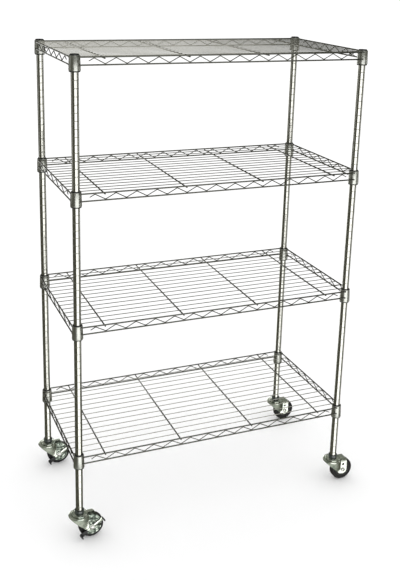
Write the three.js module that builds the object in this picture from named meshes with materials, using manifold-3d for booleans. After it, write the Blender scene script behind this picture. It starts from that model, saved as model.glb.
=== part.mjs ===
// A four-shelf wire cart on swivel casters, in millimetres.
// +Z is up, the floor is z = 0, the cart's long side runs along X and its front faces -Y.
// The origin is on the floor, under the middle of the whole cart with its casters trailing to +X.
import * as THREE from "three";
import { mergeVertices } from "three/addons/utils/BufferGeometryUtils.js";
import Module from "manifold-3d";

const wasm = await Module();
wasm.setup();

// Driving dimensions
const INCH = 25.4;
const POST_SPAN_X = 1029; // between post axes along the long side of a 42 inch shelf
const POST_SPAN_Y = 495; // between post axes along the short side of a 21 inch shelf
const POST_RADIUS = 12.7;
const POST_WALL = 1.2;
const POST_LENGTH = 1597;
const POST_BOTTOM = 101.5; // the underside of the posts above the floor
const SHELF_GROOVES = [61, 44, 26, 7]; // the post groove that carries each shelf, top shelf first
const COLLAR_ABOVE_GROOVE = 3;
const ROUND = 12; // sides of a round piece
const WHEEL_ROUND = 16;
const GAP = 0.3; // running clearance between separate pieces

// Shelf: two perimeter rails joined by a zigzag, a deck of wires, and a tapered collar at each corner
const COLLAR = { height: 47, outTop: 17.6, outBottom: 19.2, boreTop: 15, boreBottom: 16.8 };
const RAIL = { wire: 5.4, outside: 15, fromPost: 11, topZ: 42, bottomZ: 17.5 };
const ZIGZAG = { wire: 3.2, margin: 23, peaksLong: 14, peaksShort: 6 }; // its ends stop at half height
const DECK = { wire: 3.6, count: 14 };
const CROSS = { wire: 4.8, count: 4, spacing: 282, topZ: 39.9 };

// Sleeve: a split tapered ring that grips a post groove inside the collar
const SLEEVE = { below: 4, above: 3.5, slit: 2, bore: POST_RADIUS + GAP };

// Post ends
const CAP = { radius: 12.6, rim: 3, dome: 2, plug: 18 };
const FOOT = { radius: 17, lift: 11, floor: 1.5, plugRadius: 11, plugTop: 38, bore: 5.8 };

// Caster
const WHEEL_RADIUS = 44.5;
const TRAIL = 40; // from the swivel axis back to the wheel axis
const TYRE = { width: 26, tread: 17, shoulder: 41, inner: 30.3 };
const HUB = { width: 28, radius: 30, bore: 5.4, boss: 12 };
const FORK = { inside: 15.5, sheet: 2.5, crownZ: 91, crownTop: 94.5, hoodX: 50, bore: 6.2 };
const CROWN = { radius: 36, forward: 3 }; // the fork's round top, set a little forward of the swivel axis
const LEG_HOLE = { x: TRAIL, z: WHEEL_RADIUS + 24, radius: 5 };
const RACEWAY = { radius: 29, bottom: 95, top: 100.6, neck: 20 };
const STEM = { radius: 5.4, head: 9, headBottom: 87, headTop: 90.4, top: 136 };
const AXLE = { radius: 5, head: 8, headHeight: 4, reach: 18.3 };
const LEVER = { sheet: 3, near: 19.2, half: 50, height: 9, boss: 10, tilt: 34.5, tab: 10.8, pad: 16 };

const STEEL = { color: 0xc9ccc8, roughness: 0.18, metalness: 1 };
const ZINC = { color: 0xa9ada3, roughness: 0.35, metalness: 1 };
const BLACK_PLASTIC = { color: 0x17181a, roughness: 0.5, metalness: 0 };
const RUBBER = { color: 0x111214, roughness: 0.75, metalness: 0 };
const HUB_PLASTIC = { color: 0x2a2b2a, roughness: 0.55, metalness: 0 };

// Geometry and booleans
function solid(geometry) {
  const bare = geometry.clone();
  bare.deleteAttribute("normal");
  bare.deleteAttribute("uv");
  const merged = mergeVertices(bare, 1e-3);
  return new wasm.Manifold(
    new wasm.Mesh({
      numProp: 3,
      vertProperties: merged.attributes.position.array,
      triVerts: new Uint32Array(merged.index.array),
    }),
  );
}

function joined(geometries) {
  return geometries.map(solid).reduce((whole, piece) => whole.add(piece));
}

function geometryOf(body) {
  const { vertProperties, triVerts } = body.getMesh();
  return new THREE.BufferGeometry()
    .setAttribute("position", new THREE.BufferAttribute(vertProperties, 3))
    .setIndex(new THREE.BufferAttribute(triVerts, 1));
}

function box(size, centre) {
  return new THREE.BoxGeometry(...size).translate(...centre);
}

// A turned piece about Z; the profile is [radius, z] points, up the outside and down the inside.
function turned(profile, sides = ROUND) {
  const points = profile.map(([r, z]) => new THREE.Vector2(r, z));
  return new THREE.LatheGeometry(points, sides).rotateX(Math.PI / 2);
}

// The same about Y, with a flat side of its polygon underneath.
function wheelTurned(profile, sides = ROUND) {
  return turned(profile, sides).rotateZ(Math.PI / sides).rotateX(Math.PI / 2);
}

function ring(inner, outer, z0, z1) {
  return [[outer, z0], [outer, z1], [inner, z1], [inner, z0], [outer, z0]];
}

// A flat plate in the XZ plane, from y0 to y1.
function plate(points, y0, y1) {
  const shape = new THREE.Shape(points.map(([x, z]) => new THREE.Vector2(x, z)));
  const sheet = new THREE.ExtrudeGeometry(shape, { depth: y1 - y0, bevelEnabled: false, steps: 1 });
  return sheet.rotateX(Math.PI / 2).translate(0, y1, 0);
}

const cart = new THREE.Group();

function add(name, geometry, look, place = [0, 0, 0]) {
  const mesh = new THREE.Mesh(geometry, new THREE.MeshStandardMaterial(look));
  mesh.name = name;
  mesh.position.set(...place);
  cart.add(mesh);
}

const CORNERS = [];
for (const [row, y] of [["front", -POST_SPAN_Y / 2], ["back", POST_SPAN_Y / 2]]) {
  for (const [side, x] of [["left", -POST_SPAN_X / 2], ["right", POST_SPAN_X / 2]]) {
    CORNERS.push({ name: `${row}_${side}`, x, y, braked: side === "left" });
  }
}

// One side of the shelf's edge: two rails and the zigzag between them, along X at y = 0.
function trussSide(span, peaks) {
  const middle = (RAIL.topZ + RAIL.bottomZ) / 2;
  const rise = (RAIL.topZ - RAIL.bottomZ - RAIL.wire) / 2;
  const run = (span - 2 * ZIGZAG.margin) / (2 * peaks);
  const half = (ZIGZAG.wire / 2) * Math.hypot(1, (2 * rise) / run);
  const line = Array.from({ length: 2 * peaks + 1 }, (_, i) => [
    ZIGZAG.margin - span / 2 + i * run,
    middle + (i % 2 ? rise : -rise),
  ]);
  line[0] = [line[0][0] + run / 2, middle];
  line[2 * peaks] = [line[2 * peaks][0] - run / 2, middle];
  const upper = line.map(([x, z]) => [x, z + half]);
  const lower = line.map(([x, z]) => [x, z - half]);
  const rail = (z) => box([span - 2 * RAIL.fromPost, RAIL.wire, RAIL.wire], [0, 0, z]);
  return joined([
    rail(RAIL.topZ),
    rail(RAIL.bottomZ),
    plate([...lower, ...upper.reverse()], -ZIGZAG.wire / 2, ZIGZAG.wire / 2),
  ]);
}

function shelf() {
  const edgeX = POST_SPAN_X / 2 + RAIL.outside;
  const edgeY = POST_SPAN_Y / 2 + RAIL.outside;
  const long = trussSide(POST_SPAN_X, ZIGZAG.peaksLong);
  const short = trussSide(POST_SPAN_Y, ZIGZAG.peaksShort).rotate([0, 0, 90]);
  const pitch = (2 * edgeY) / (DECK.count + 1);
  const wires = [];
  for (let i = 1; i <= DECK.count; i++) {
    wires.push(box([2 * edgeX, DECK.wire, DECK.wire], [0, i * pitch - edgeY, RAIL.topZ]));
  }
  for (let i = 0; i < CROSS.count; i++) {
    const x = (i - (CROSS.count - 1) / 2) * CROSS.spacing;
    const z = CROSS.topZ - CROSS.wire / 2;
    wires.push(box([CROSS.wire, 2 * edgeY + RAIL.wire, CROSS.wire], [x, 0, z]));
  }
  let body = long.translate([0, -edgeY, 0]).add(long.translate([0, edgeY, 0]));
  body = body.add(short.translate([-edgeX, 0, 0])).add(short.translate([edgeX, 0, 0]));
  body = wires.map(solid).reduce((whole, wire) => whole.add(wire), body);
  const { height, outTop, outBottom, boreTop, boreBottom } = COLLAR;
  const collar = turned([
    [boreBottom, 0], [outBottom, 0], [outTop, height], [boreTop, height], [boreBottom, 0],
  ]);
  for (const { x, y } of CORNERS) {
    body = body.add(solid(collar.clone().translate(x, y, 0)));
  }
  return geometryOf(body);
}

function sleeve() {
  const slope = (COLLAR.boreBottom - COLLAR.boreTop) / COLLAR.height;
  const outerAt = (z) => COLLAR.boreBottom - GAP - slope * z;
  const [z0, z1] = [-SLEEVE.below, COLLAR.height + SLEEVE.above];
  const { bore } = SLEEVE;
  const profile = [[bore, z0], [outerAt(z0), z0], [outerAt(z1), z1], [bore, z1], [bore, z0]];
  const slit = box([COLLAR.outBottom, SLEEVE.slit, z1 - z0 + 2], [COLLAR.outBottom / 2, 0, (z0 + z1) / 2]);
  return geometryOf(solid(turned(profile)).subtract(solid(slit)));
}

function post() {
  return turned(ring(POST_RADIUS - POST_WALL, POST_RADIUS, 0, POST_LENGTH));
}

// A plug inside the post with a low dome on top; z = 0 is the top of the post.
function cap() {
  const plugRadius = POST_RADIUS - POST_WALL - GAP;
  return turned([
    [0, -CAP.plug],
    [plugRadius, -CAP.plug],
    [plugRadius, GAP],
    [CAP.radius, GAP],
    [CAP.radius, CAP.rim],
    [CAP.radius - 3, CAP.rim + CAP.dome],
    [0, CAP.rim + CAP.dome],
  ]);
}

// A cup around the foot of the post with a bush inside it for the caster's stem; z = 0 is the post's end.
function foot() {
  return turned([
    [FOOT.bore, -FOOT.floor + GAP],
    [FOOT.radius - 2, -FOOT.floor + GAP],
    [FOOT.radius, 1],
    [FOOT.radius, FOOT.lift],
    [POST_RADIUS + GAP, FOOT.lift],
    [POST_RADIUS + GAP, -GAP],
    [FOOT.plugRadius, -GAP],
    [FOOT.plugRadius, FOOT.plugTop],
    [FOOT.bore, FOOT.plugTop],
    [FOOT.bore, -FOOT.floor + GAP],
  ]);
}

// The fixed ball race: a shallow pressed cover round the stem.
function raceway() {
  const { radius, bottom, top, neck } = RACEWAY;
  const bore = STEM.radius + GAP;
  return turned([
    [bore, bottom],
    [radius - 3, bottom],
    [radius, bottom + 1.5],
    [radius, bottom + 3],
    [neck, top - GAP],
    [bore, top - GAP],
    [bore, bottom],
  ]);
}

function stem() {
  const { radius, head, headBottom, headTop, top } = STEM;
  return turned([
    [0, headBottom], [head, headBottom], [head, headTop], [radius, headTop], [radius, top], [0, top],
  ]);
}

// A pressed fork: round crown, nose in front of the wheel, hood over it, and a leg on each side of it.
// The near leg of a braked caster is widened into a plate that carries the brake.
function fork(braked) {
  const { inside, sheet, crownZ, crownTop, hoodX, bore } = FORK;
  const outside = inside + sheet;
  const front = [[-6, crownTop], [-6, crownZ - 1], [8, 84], [27, 33], [33, 28], [47, 28]];
  const leg = [...front, [54, 34], [56.5, 45], [56.5, 88], [hoodX, crownTop]];
  const brakeSide = [
    ...front, [58, 31], [67, 39], [73, 50], [74, 62], [69, 76], [60, 87], [hoodX, crownTop],
  ];
  const pocket = STEM.head + 2 * GAP; // room for the rivet head at the foot of the stem
  const nose = [[-36, 91], [-34, 86], [-22, 78], [-4, 73], [2, 76], [4, 91]];
  const round = turned([[0, crownZ], [CROWN.radius, crownZ], [CROWN.radius, crownTop], [0, crownTop]]);
  const crown = round.translate(-CROWN.forward, 0, 0);
  const hood = box([hoodX, 2 * outside, crownTop - crownZ], [hoodX / 2, 0, (crownZ + crownTop) / 2]);
  const stemHole = turned([
    [0, 60], [pocket, 60], [pocket, crownZ], [bore, crownZ], [bore, 110], [0, 110],
  ]);
  const across = (radius, x, z) =>
    solid(wheelTurned([[0, -30], [radius, -30], [radius, 30], [0, 30]]).translate(x, 0, z));
  return geometryOf(
    joined([
      crown,
      hood,
      plate(nose, -outside, outside),
      plate(braked ? brakeSide : leg, -outside, -inside),
      plate(leg, inside, outside),
    ])
      .subtract(solid(stemHole))
      .subtract(across(AXLE.radius + GAP, TRAIL, WHEEL_RADIUS))
      .subtract(across(LEG_HOLE.radius, LEG_HOLE.x, LEG_HOLE.z)),
  );
}

// Wheel pieces are turned about the wheel axis, whose middle is their origin.
function hub() {
  const { width, radius, bore, boss } = HUB;
  const rim = TYRE.width / 2;
  return wheelTurned([
    [bore, -width / 2], [boss, -width / 2], [radius, -rim], [radius, rim], [boss, width / 2],
    [bore, width / 2], [bore, -width / 2],
  ], WHEEL_ROUND);
}

function tyre() {
  const { width, tread, shoulder, inner } = TYRE;
  const toCorner = 1 / Math.cos(Math.PI / WHEEL_ROUND); // so that the flat sides lie at the rolling radius
  return wheelTurned([
    [inner, -width / 2], [shoulder * toCorner, -width / 2], [WHEEL_RADIUS * toCorner, -tread / 2],
    [WHEEL_RADIUS * toCorner, tread / 2], [shoulder * toCorner, width / 2], [inner, width / 2],
    [inner, -width / 2],
  ], WHEEL_ROUND);
}

// The axle bolt with its head at the front and its nut at the back.
function axle(nearReach) {
  const { radius, head, headHeight, reach } = AXLE;
  return wheelTurned([
    [0, -reach - headHeight], [head, -reach - headHeight], [head, -reach], [radius, -reach],
    [radius, nearReach], [head, nearReach], [head, nearReach + headHeight], [0, nearReach + headHeight],
  ]);
}

// The brake lever: a steel strip across the face of the wheel, with a toe tab and a heel tab turned outwards.
function brakeLever() {
  const { sheet, near, half, height, boss, tilt, tab, pad } = LEVER;
  const y = -near - sheet / 2;
  const across = (radius) =>
    solid(wheelTurned([[0, near], [radius, near], [radius, near + sheet], [0, near + sheet]]));
  const hole = solid(wheelTurned([[0, 0], [AXLE.radius + GAP, 0], [AXLE.radius + GAP, 40], [0, 40]]));
  const outward = -near - sheet / 2 - tab / 2;
  return geometryOf(
    joined([
      box([2 * half, sheet, height], [0, y, 0]),
      box([sheet, tab, pad], [half - sheet / 2, outward, 0]),
      box([sheet, tab, pad], [sheet / 2 - half, outward, 0]),
    ])
      .add(across(boss))
      .subtract(hole)
      .rotate([0, -tilt, 0]),
  );
}

const shelfShape = shelf();
const sleeveShape = sleeve();
SHELF_GROOVES.forEach((groove, i) => {
  const z = POST_BOTTOM + groove * INCH + COLLAR_ABOVE_GROOVE;
  add(`shelf_${i + 1}`, shelfShape, STEEL, [0, 0, z]);
  for (const { name, x, y } of CORNERS) {
    add(`sleeve_${i + 1}_${name}`, sleeveShape, BLACK_PLASTIC, [x, y, z]);
  }
});

for (const { name, x, y, braked } of CORNERS) {
  const nearReach = braked ? LEVER.near + LEVER.sheet + GAP : AXLE.reach;
  const wheelPlace = [x + TRAIL, y, WHEEL_RADIUS];
  add(`post_${name}`, post(), STEEL, [x, y, POST_BOTTOM]);
  add(`cap_${name}`, cap(), BLACK_PLASTIC, [x, y, POST_BOTTOM + POST_LENGTH]);
  add(`foot_${name}`, foot(), BLACK_PLASTIC, [x, y, POST_BOTTOM]);
  add(`stem_${name}`, stem(), ZINC, [x, y, 0]);
  add(`raceway_${name}`, raceway(), ZINC, [x, y, 0]);
  add(`fork_${name}`, fork(braked), ZINC, [x, y, 0]);
  add(`axle_${name}`, axle(nearReach), ZINC, wheelPlace);
  add(`hub_${name}`, hub(), HUB_PLASTIC, wheelPlace);
  add(`tyre_${name}`, tyre(), RUBBER, wheelPlace);
  if (braked) add(`brake_lever_${name}`, brakeLever(), ZINC, wheelPlace);
}

// The casters reach further to +X than to -X, so the cart shifts back to put the origin under its middle.
cart.position.x = -(TRAIL + WHEEL_RADIUS - CROWN.radius - CROWN.forward) / 2;

export default cart;
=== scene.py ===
# %% [markdown]
# # A wire shelf cart, from bare frame to finished look
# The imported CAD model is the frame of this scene: it says where every post, shelf and wheel sits.
# Here each of its plain solids gets a finer shape and a real finish, and moves with the same body.
# Shapes are drawn in millimetres around their own origin and put in their place, in metres, at the end.

# %% Load the frame
import math

import bmesh
import bpy
from mathutils import Matrix, Vector


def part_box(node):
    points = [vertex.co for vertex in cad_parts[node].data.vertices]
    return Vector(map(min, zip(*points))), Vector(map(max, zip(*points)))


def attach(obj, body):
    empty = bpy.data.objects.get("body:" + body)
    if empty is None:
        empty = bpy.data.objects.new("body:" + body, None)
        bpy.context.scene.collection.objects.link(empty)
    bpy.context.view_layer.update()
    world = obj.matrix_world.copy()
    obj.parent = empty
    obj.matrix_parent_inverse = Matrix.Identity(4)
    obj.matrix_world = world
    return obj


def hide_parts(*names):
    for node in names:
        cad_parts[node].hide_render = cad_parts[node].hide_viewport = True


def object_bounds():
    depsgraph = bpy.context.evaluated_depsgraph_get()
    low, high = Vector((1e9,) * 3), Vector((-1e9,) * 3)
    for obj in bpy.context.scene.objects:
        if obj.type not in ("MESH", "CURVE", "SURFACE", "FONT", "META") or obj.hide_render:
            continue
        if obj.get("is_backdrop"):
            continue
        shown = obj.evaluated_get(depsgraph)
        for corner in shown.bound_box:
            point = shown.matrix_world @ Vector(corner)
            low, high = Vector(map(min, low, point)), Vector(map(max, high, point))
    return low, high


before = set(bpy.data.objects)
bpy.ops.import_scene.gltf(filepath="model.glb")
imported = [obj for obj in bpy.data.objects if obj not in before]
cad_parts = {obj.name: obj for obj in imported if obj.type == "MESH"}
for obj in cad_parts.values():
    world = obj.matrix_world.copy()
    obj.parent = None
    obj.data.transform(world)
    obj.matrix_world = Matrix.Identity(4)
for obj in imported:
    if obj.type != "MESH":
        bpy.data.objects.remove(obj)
cad_low, cad_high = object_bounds()
MM = 0.001
print("cart, in metres:", [round(c, 4) for c in cad_high - cad_low])

# %% [markdown]
# ## Camera
# The cart is seen from its left front corner, from a little above the top shelf, with a normal lens.
# The horizon sits high, so the camera tips down and its shift moves the picture back up to the cart.
# A small roll matches a camera that was not quite level.

# %% Camera
EYE = Vector((-1.1947, -2.828, 1.9895))
TURN, TIP, ROLL = (math.radians(angle) for angle in (22.79, 14.94, 1.57))

camera = bpy.data.objects.new("camera", bpy.data.cameras.new("camera"))
camera.data.lens = 53.41
camera.data.shift_y = -0.1724
facing = Matrix.Rotation(-TURN, 4, "Z") @ Matrix.Rotation(math.pi / 2 - TIP, 4, "X")
camera.matrix_world = Matrix.Translation(EYE) @ facing @ Matrix.Rotation(ROLL, 4, "Z")
bpy.context.scene.collection.objects.link(camera)
bpy.context.scene.camera = camera
print("camera is", round((EYE - (cad_low + cad_high) / 2).length, 2), "m from the middle of the cart")

# %% [markdown]
# ## Wrapping shader nodes
# A material is a net of nodes, and wiring them by hand hides the idea behind the plumbing.
# So a socket is wrapped in a small class that understands arithmetic: writing `1 - dirt * 0.4`
# adds the Math nodes for it. Every other node comes from one method, which sets the node's
# settings first and then fills or links its sockets.

# %% Value: a socket that understands arithmetic
class Value:
    def __init__(self, nodes, socket):
        self.nodes = nodes
        self.socket = socket

    def math(self, operation, first, second):
        return self.nodes.node("ShaderNodeMath", {"operation": operation}, {0: first, 1: second})

    def __add__(self, other):
        return self.math("ADD", self, other)

    def __sub__(self, other):
        return self.math("SUBTRACT", self, other)

    def __rsub__(self, other):
        return self.math("SUBTRACT", other, self)

    def __mul__(self, other):
        return self.math("MULTIPLY", self, other)

    def __truediv__(self, other):
        return self.math("DIVIDE", self, other)

    def __rtruediv__(self, other):
        return self.math("DIVIDE", other, self)

    __radd__ = __add__
    __rmul__ = __mul__


print("a wrapped socket adds, subtracts, multiplies and divides")

# %% [markdown]
# ## One method for any node
# A colour ramp starts with two stops, so the first two in a list are moved and the rest are added.
# Two settings come up so often that they have a name of their own: mixing two colours, and
# fading, which stretches a narrow range of a pattern over the whole range from none to all.


# %% Nodes: one method makes any node of a tree
class Nodes:
    def __init__(self, tree):
        self.tree = tree

    def join(self, value, socket):
        if isinstance(value, Value):
            self.tree.links.new(value.socket, socket)
        elif socket.type == "RGBA":
            socket.default_value = (*value, 1)
        else:
            socket.default_value = value

    def node(self, kind, settings=None, sockets=None, output=0):
        made = self.tree.nodes.new(kind)
        for name, value in (settings or {}).items():
            if name == "stops":
                for (at, colour), stop in zip(value, made.color_ramp.elements):
                    stop.position = at
                    stop.color = (*colour, 1)
                for at, colour in value[2:]:
                    made.color_ramp.elements.new(at).color = (*colour, 1)
            else:
                setattr(made, name, value)
        for name, value in (sockets or {}).items():
            self.join(value, made.inputs[name])
        return Value(self, made.outputs[output])

    def mix(self, factor, first, second):
        """From the first colour to the second."""
        return self.node("ShaderNodeMix", {"data_type": "RGBA"}, {0: factor, 6: first, 7: second}, 2)

    def fade(self, value, start, end, first=0.0, last=1.0):
        """Runs from first to last while value runs from start to end, and stays there outside."""
        bounds = {"From Min": start, "From Max": end, "To Min": first, "To Max": last}
        return self.node("ShaderNodeMapRange", {}, {"Value": value, **bounds})


print("node helpers ready")

# %% [markdown]
# ## Surroundings
# Polished metal has almost no colour of its own: it shows the room. On a round post a softbox
# becomes a white stripe and a dim room the dark flanks, and that contrast is what reads as chrome.
# The world is bright for everything matt and dim for everything shiny, which stands in for the
# black cards that a studio puts around polished metal. A ramp over height makes the shiny
# one: pale low down, where a real floor would be, dark at eye level and grey overhead.

# %% World
scene = bpy.context.scene
scene.view_settings.view_transform = "Standard"
scene.world = bpy.data.worlds.new("studio")
scene.world.use_nodes = True
scene.world.cycles.sampling_method = "NONE"
air = Nodes(scene.world.node_tree)
direction = air.node("ShaderNodeTexCoord", output="Generated")
height = air.node("ShaderNodeSeparateXYZ", {}, {0: direction}, output="Z")
room = air.node("ShaderNodeValToRGB", {"stops": [
    (0.0, (0.95, 0.98, 0.92)),
    (1.0, (0.30, 0.31, 0.28)),
    (0.10, (0.45, 0.47, 0.42)),
    (0.20, (0.11, 0.11, 0.085)),
    (0.55, (0.10, 0.097, 0.075)),
    (0.70, (0.24, 0.245, 0.215)),
]}, {0: air.fade(height, -1, 1)})
seen = air.node("ShaderNodeLightPath", output="Is Camera Ray")
matt = air.node("ShaderNodeLightPath", output="Is Diffuse Ray")
background = scene.world.node_tree.nodes["Background"]
MATT_LIGHT = (1.18, 1.18, 1.18)
air.join(air.mix(seen + matt, room, MATT_LIGHT), background.inputs["Color"])
print("world is bright for matt surfaces and dim for polished ones")

# %% [markdown]
# ## Softboxes
# Six panels stand round the cart: a wide key in front, a low one that the caster legs catch,
# one behind, one on each side and one overhead. Each is there to be seen in the metal, so they
# light nothing matt, and the camera doesn't see the panels themselves. A bare lamp would give
# each wire a hard white dot, where a panel gives it a soft line along its whole length.


# %% Softboxes
PANEL_POWER = 4


def softbox(name, centre, target, width, tall, strength):
    """A panel that faces its target. Its power grows with its area, so its brightness doesn't change."""
    light = bpy.data.lights.new(name, "AREA")
    light.shape = "RECTANGLE"
    light.size = width
    light.size_y = tall
    light.energy = PANEL_POWER * strength * width * tall
    made = bpy.data.objects.new(name, light)
    centre = Vector(centre)
    towards = (Vector(target) - centre).to_track_quat("-Z", "Y")
    made.matrix_world = Matrix.Translation(centre) @ towards.to_matrix().to_4x4()
    made.visible_diffuse = False
    made.visible_camera = False
    scene.collection.objects.link(made)


softbox("key", (0.1, -3.3, -0.35), (0.1, 0.0, -0.35), 4.3, 3.4, 1.8)
softbox("fill_back", (0.2, 3.6, -0.1), (0.2, 0.0, -0.1), 3.4, 3.4, 1.3)
softbox("fill_right", (3.6, -0.4, 0.0), (0.0, 0.0, 0.2), 1.0, 3.2, 1.0)
softbox("fill_left", (-3.4, 0.8, 1.6), (0.0, 0.0, 0.8), 0.8, 2.6, 0.6)
softbox("overhead", (0.3, -1.6, 3.4), (0.0, 0.0, 0.4), 2.4, 1.2, 1.3)
softbox("low_panel", (1.6, -3.3, -2.35), (1.6, 0.0, -2.35), 2.8, 0.9, 1.8)

# %% [markdown]
# ## Floor
# A pale matt sheet, so large that its edge is lost in the distance. It is left out of reflections,
# because the ramp of the world already gives the metal its pale floor.

# %% Floor
FLOOR_HALF = 150
floor_shape = bmesh.new()
bmesh.ops.create_grid(floor_shape, x_segments=1, y_segments=1, size=FLOOR_HALF)
floor_mesh = bpy.data.meshes.new("floor")
floor_shape.to_mesh(floor_mesh)
floor = bpy.data.objects.new("floor", floor_mesh)
scene.collection.objects.link(floor)
floor.visible_glossy = False
floor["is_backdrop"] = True
floor_finish = bpy.data.materials.new("pale floor")
floor_finish.use_nodes = True
paint = floor_finish.node_tree.nodes["Principled BSDF"].inputs
paint["Base Color"].default_value = (0.93, 0.93, 0.93, 1)
paint["Roughness"].default_value = 0.9
paint["Specular IOR Level"].default_value = 0.0
floor_mesh.materials.append(floor_finish)
print("floor is", 2 * FLOOR_HALF, "m across")

# %% [markdown]
# ## Finishes
# Each finish starts from how the real surface was made: bright chrome over drawn steel, cloudy
# zinc on the pressings, moulded black plastic, rubber. Two noises do most of the work: a coarse
# one for patches and wear, and a fine one for grain, which only bends the light. Both follow the
# object's own coordinates, so a pattern stays where it is on a piece that turns.


# %% Finish: a principled material with noise, bump and object coordinates
class Finish(Nodes):
    def __init__(self, name):
        self.material = bpy.data.materials.new(name)
        self.material.use_nodes = True
        super().__init__(self.material.node_tree)
        self.shader = self.tree.nodes["Principled BSDF"]
        self.place = self.node("ShaderNodeTexCoord", output="Object")

    def surface(self, sockets):
        for name, value in sockets.items():
            self.join(value, self.shader.inputs[name])
        return self.material

    def noise(self, scale, detail=2.0, stretch=(1, 1, 1)):
        along = self.node("ShaderNodeMapping", {}, {"Vector": self.place, "Scale": stretch})
        return self.node("ShaderNodeTexNoise", {}, {"Vector": along, "Scale": scale, "Detail": detail})

    def bump(self, height, depth, strength=1.0):
        return self.node("ShaderNodeBump", {}, {"Height": height, "Distance": depth, "Strength": strength})


print("a finish knows its shader, its noises and its bumps")

# %% [markdown]
# ## Chrome on the shelf wires
# The wire is drawn through a die before it is plated, which leaves it a little uneven under the
# chrome. Real wires mostly reflect a dark room and each other. This studio is brighter than that,
# so a darker metal colour paints in that shade, most of all on the rails, which face the key light
# and get the more deeply shaded copy. One recipe with two colours makes both kinds.


# %% Chrome on the shelf wires
def chrome_wire(name, dark, light):
    finish = Finish(name)
    patches = finish.noise(14, 3)
    drawn = finish.noise(700, 2)
    return finish.surface({
        "Metallic": 1.0,
        "Base Color": finish.mix(patches, dark, light),
        "Roughness": 0.12 + patches * 0.14,
        "Normal": finish.bump(drawn, 0.00012, 0.35),
    })


# Both colour pairs are painted shade: the metal is darkened, the edge wires most of all.
EDGE_CHROME = chrome_wire("chrome of the edge wires", (0.085, 0.085, 0.075), (0.14, 0.14, 0.125))
DECK_CHROME = chrome_wire("chrome of the deck wires", (0.21, 0.21, 0.19), (0.31, 0.30, 0.27))
print("made:", EDGE_CHROME.name, "and", DECK_CHROME.name)

# %% [markdown]
# ## Dull chrome on the collars
# A collar is rolled from sheet and welded, and it is never polished as bright as a tube. A rougher
# surface spreads the softbox over the whole cone, where a smooth one would show a thin stripe.


# %% Dull chrome on the collars
def collar_chrome():
    finish = Finish("dull chrome collar")
    patches = finish.noise(30, 3)
    grain = finish.noise(500, 2)
    return finish.surface({
        "Metallic": 1.0,
        "Base Color": finish.mix(patches, (0.44, 0.45, 0.42), (0.58, 0.59, 0.55)),
        "Roughness": 0.30 + patches * 0.12,
        "Normal": finish.bump(grain, 0.00012, 0.4),
    })


COLLAR = collar_chrome()
print("made:", COLLAR.name)

# %% [markdown]
# ## Chrome on the posts
# The tube is the brightest metal of the cart, with faint marks along its length from the rolls. In the
# grooves that the sleeves snap into, its colour is darker and its surface rougher. Counting the turns of the
# groove pitch from the foot of the post, and keeping what is nearest a whole number, finds them.

# %% Chrome on the posts, darker and rougher in the grooves
PITCH = 25.4
GROOVE_MARK_INSIDE, GROOVE_MARK_OUTSIDE = 0.03, 0.05
post_low, post_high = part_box("post_front_left")


def chrome_post():
    finish = Finish("bright chrome tube")
    patches = finish.noise(6, 3)
    drawn = finish.noise(900, 2, (1, 1, 0.03))
    up = finish.node("ShaderNodeSeparateXYZ", {}, {0: finish.place}, output="Z")
    turns = (up - post_low.z) / (PITCH * MM) + 0.5
    offset = finish.node("ShaderNodeMath", {"operation": "FRACT"}, {0: turns}) - 0.5
    away = finish.node("ShaderNodeMath", {"operation": "ABSOLUTE"}, {0: offset})
    # The colour is darker and the surface rougher in each groove, more so where the patches run high.
    groove_mark = finish.fade(away, GROOVE_MARK_INSIDE, GROOVE_MARK_OUTSIDE, 1.0, 0.0) * (0.25 + patches * 0.45)
    clean = finish.mix(patches, (0.48, 0.48, 0.44), (0.60, 0.60, 0.56))
    return finish.surface({
        "Metallic": 1.0,
        "Base Color": finish.mix(groove_mark, clean, (0.30, 0.29, 0.25)),
        "Roughness": 0.07 + patches * 0.06 + groove_mark * 0.25,
        "Normal": finish.bump(drawn, 0.00006, 0.3),
    })


CHROME_POST = chrome_post()
print("made:", CHROME_POST.name, "with a groove every", PITCH, "mm")

# %% [markdown]
# ## Black moulded plastic
# The caps, the sleeves and the dipped tips of the levers share it. The mould leaves a fine grain,
# and handling rubs some patches paler. Pure black would lose the shape, so it is a dark grey.


# %% Black moulded plastic
def black_plastic():
    finish = Finish("black moulded plastic")
    grain = finish.noise(1800, 2)
    rubbed = finish.fade(finish.noise(120, 4), 0.55, 0.75)
    return finish.surface({
        "Base Color": finish.mix(rubbed, (0.012, 0.012, 0.013), (0.045, 0.045, 0.045)),
        "Roughness": 0.38 + grain * 0.2,
        "Normal": finish.bump(grain, 0.0001, 0.5),
    })


PLASTIC = black_plastic()
print("made:", PLASTIC.name)

# %% [markdown]
# ## Polished dark plastic
# The cups under the posts come from a polished mould. A thin clear coat over a dark, slightly
# green base gives the sharp highlight on their rounded edge.


# %% Polished dark plastic of the stem cups
def cup_plastic():
    finish = Finish("polished dark plastic")
    swirl = finish.noise(90, 3)
    return finish.surface({
        "Base Color": finish.mix(swirl, (0.020, 0.026, 0.024), (0.050, 0.060, 0.055)),
        "Roughness": 0.12 + swirl * 0.12,
        "Coat Weight": 0.6,
    })


CUP = cup_plastic()
print("made:", CUP.name)

# %% [markdown]
# ## Cloudy zinc plate
# The caster pressings are zinc plated and passivated, which clouds the metal in grey and green
# patches a centimetre or so wide. Two noises are added before the ramp, so that the clouds have
# ragged borders, and the finer one also bends the light like the spangle of the plating.


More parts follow.
